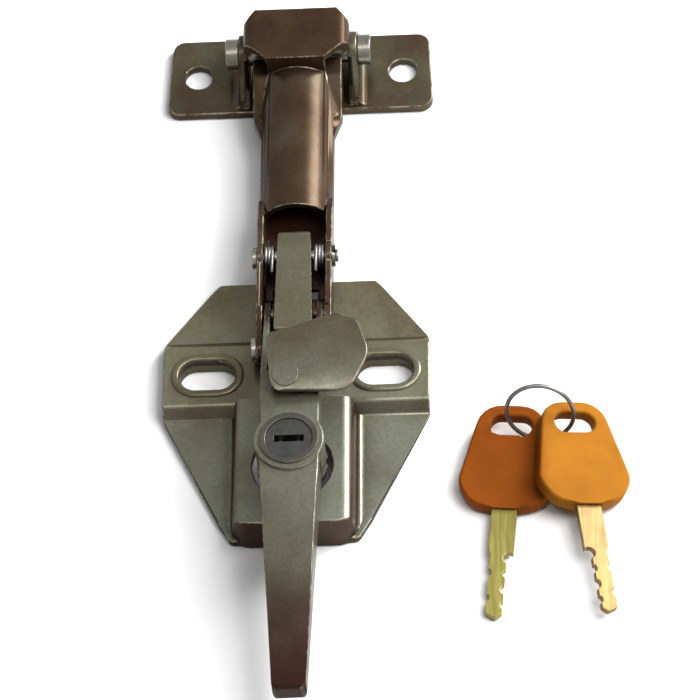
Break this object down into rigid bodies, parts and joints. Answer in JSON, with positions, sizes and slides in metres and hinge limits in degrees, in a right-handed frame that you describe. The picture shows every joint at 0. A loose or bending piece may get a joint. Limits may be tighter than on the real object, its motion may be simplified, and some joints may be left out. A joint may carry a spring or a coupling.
{
  "type": "engine cover draw latch",
  "caption": "Over-centre draw latch for an engine cover: pressed base, keyed lever with dust cover, hook arm with safety catch, striker bracket and loose keys.",
  "frame": {"origin": "on the mounting face, midway between the two slots of the base plate", "axes": "+X across the latch, +Y from the lever towards the striker, +Z away from the panel"},
  "size_m": [0.1476, 0.257, 0.0355],
  "materials": {
    "olive_plated_steel": "dark olive zinc plating, satin",
    "plain_plated_steel": "bright zinc plating",
    "lock_plug_steel": "satin die-cast plug",
    "spring_steel": "drawn wire",
    "key_head_plastic": "orange moulded plastic",
    "key_blade_brass": "brass, cut blade"
  },
  "bodies": {
    "base": {"base_plate": "olive_plated_steel", "slot_backings": "olive_plated_steel", "pivot_bracket": "olive_plated_steel", "bracket_rivets": "plain_plated_steel", "lever_pivot_pin": "plain_plated_steel"},
    "lever": {"lever_handle": "olive_plated_steel", "lock_barrel": "plain_plated_steel", "barrel_nut": "plain_plated_steel"},
    "plug": {"lock_plug": "lock_plug_steel", "plug_wafers": "key_blade_brass", "lock_cam": "plain_plated_steel", "cam_screw": "plain_plated_steel"},
    "cover": {"dust_cover": "olive_plated_steel", "cover_collar": "plain_plated_steel", "cover_rivet": "plain_plated_steel", "cover_washer": "plain_plated_steel"},
    "arm": {"hook_arm": "olive_plated_steel", "arm_pivot_pin": "plain_plated_steel", "arm_pin_clip": "plain_plated_steel", "catch_pin": "plain_plated_steel", "catch_pin_clip": "plain_plated_steel"},
    "catch": {"safety_catch": "olive_plated_steel", "catch_spring": "spring_steel"},
    "striker": {"striker_bracket": "olive_plated_steel", "striker_pin": "plain_plated_steel", "striker_collar": "plain_plated_steel"},
    "keys": {"key_heads": "key_head_plastic", "key_blades": "key_blade_brass", "key_ring": "spring_steel"}
  },
  "joints": [
    {"name": "lever_lift", "type": "hinge", "parent": "base", "child": "lever", "pos_m": [0, 0.017, 0.013], "axis": [-1, 0, 0], "range_deg": [0, 55]},
    {"name": "arm_swing", "type": "hinge", "parent": "lever", "child": "arm", "pos_m": [0, 0.005, 0.012], "axis": [-1, 0, 0], "range_deg": [-55, 0]},
    {"name": "plug_turn", "type": "hinge", "parent": "lever", "child": "plug", "pos_m": [0, -0.04, 0.02], "axis": [0, 0, 1], "range_deg": [0, 90]},
    {"name": "cover_swing", "type": "hinge", "parent": "lever", "child": "cover", "pos_m": [-0.001, -0.019, 0.03], "axis": [0, 0, -1], "range_deg": [0, 120]},
    {"name": "catch_lift", "type": "hinge", "parent": "arm", "child": "catch", "pos_m": [0, 0.0375, 0.016], "axis": [-1, 0, 0], "range_deg": [0, 12], "stiffness_Nm_per_rad": 0.3, "deforming": ["catch_spring"]},
    {"name": "striker_release", "type": "slide", "parent": "base", "child": "striker", "axis": [0, 0, -1], "range_m": [0, 0.04]},
    {"name": "keys_lift", "type": "slide", "parent": "base", "child": "keys", "axis": [0, 0, 1], "range_m": [0, 0.06]}
  ],
  "couplings": [
    {"joint": "arm_swing", "follows": "lever_lift", "ratio": -1}
  ]
}
